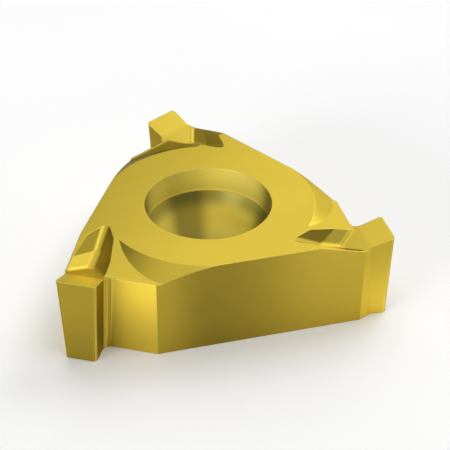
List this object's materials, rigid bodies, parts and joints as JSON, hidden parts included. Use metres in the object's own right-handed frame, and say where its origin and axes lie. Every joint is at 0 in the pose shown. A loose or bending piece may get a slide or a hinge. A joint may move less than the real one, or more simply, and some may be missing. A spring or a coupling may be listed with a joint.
{
  "type": "grooving insert",
  "caption": "Triangular indexable grooving insert: a square-ended cutting tooth at each corner, a chip groove sunk in the ramp behind it, and a countersunk screw hole through the middle.",
  "frame": {"origin": "on the axis of the screw hole, at the seat face underneath", "axes": "+Z along the screw hole's axis, from the seat face up to the top face with the cutting edges; +X along the direction in which the first tooth points, which stands beside the long side that faces -Y"},
  "size_m": [0.0148, 0.0134, 0.0043],
  "materials": {
    "coated_carbide": "satin golden coating on sintered carbide"
  },
  "bodies": {
    "root": {"grooving_insert": "coated_carbide"}
  },
  "joints": []
}
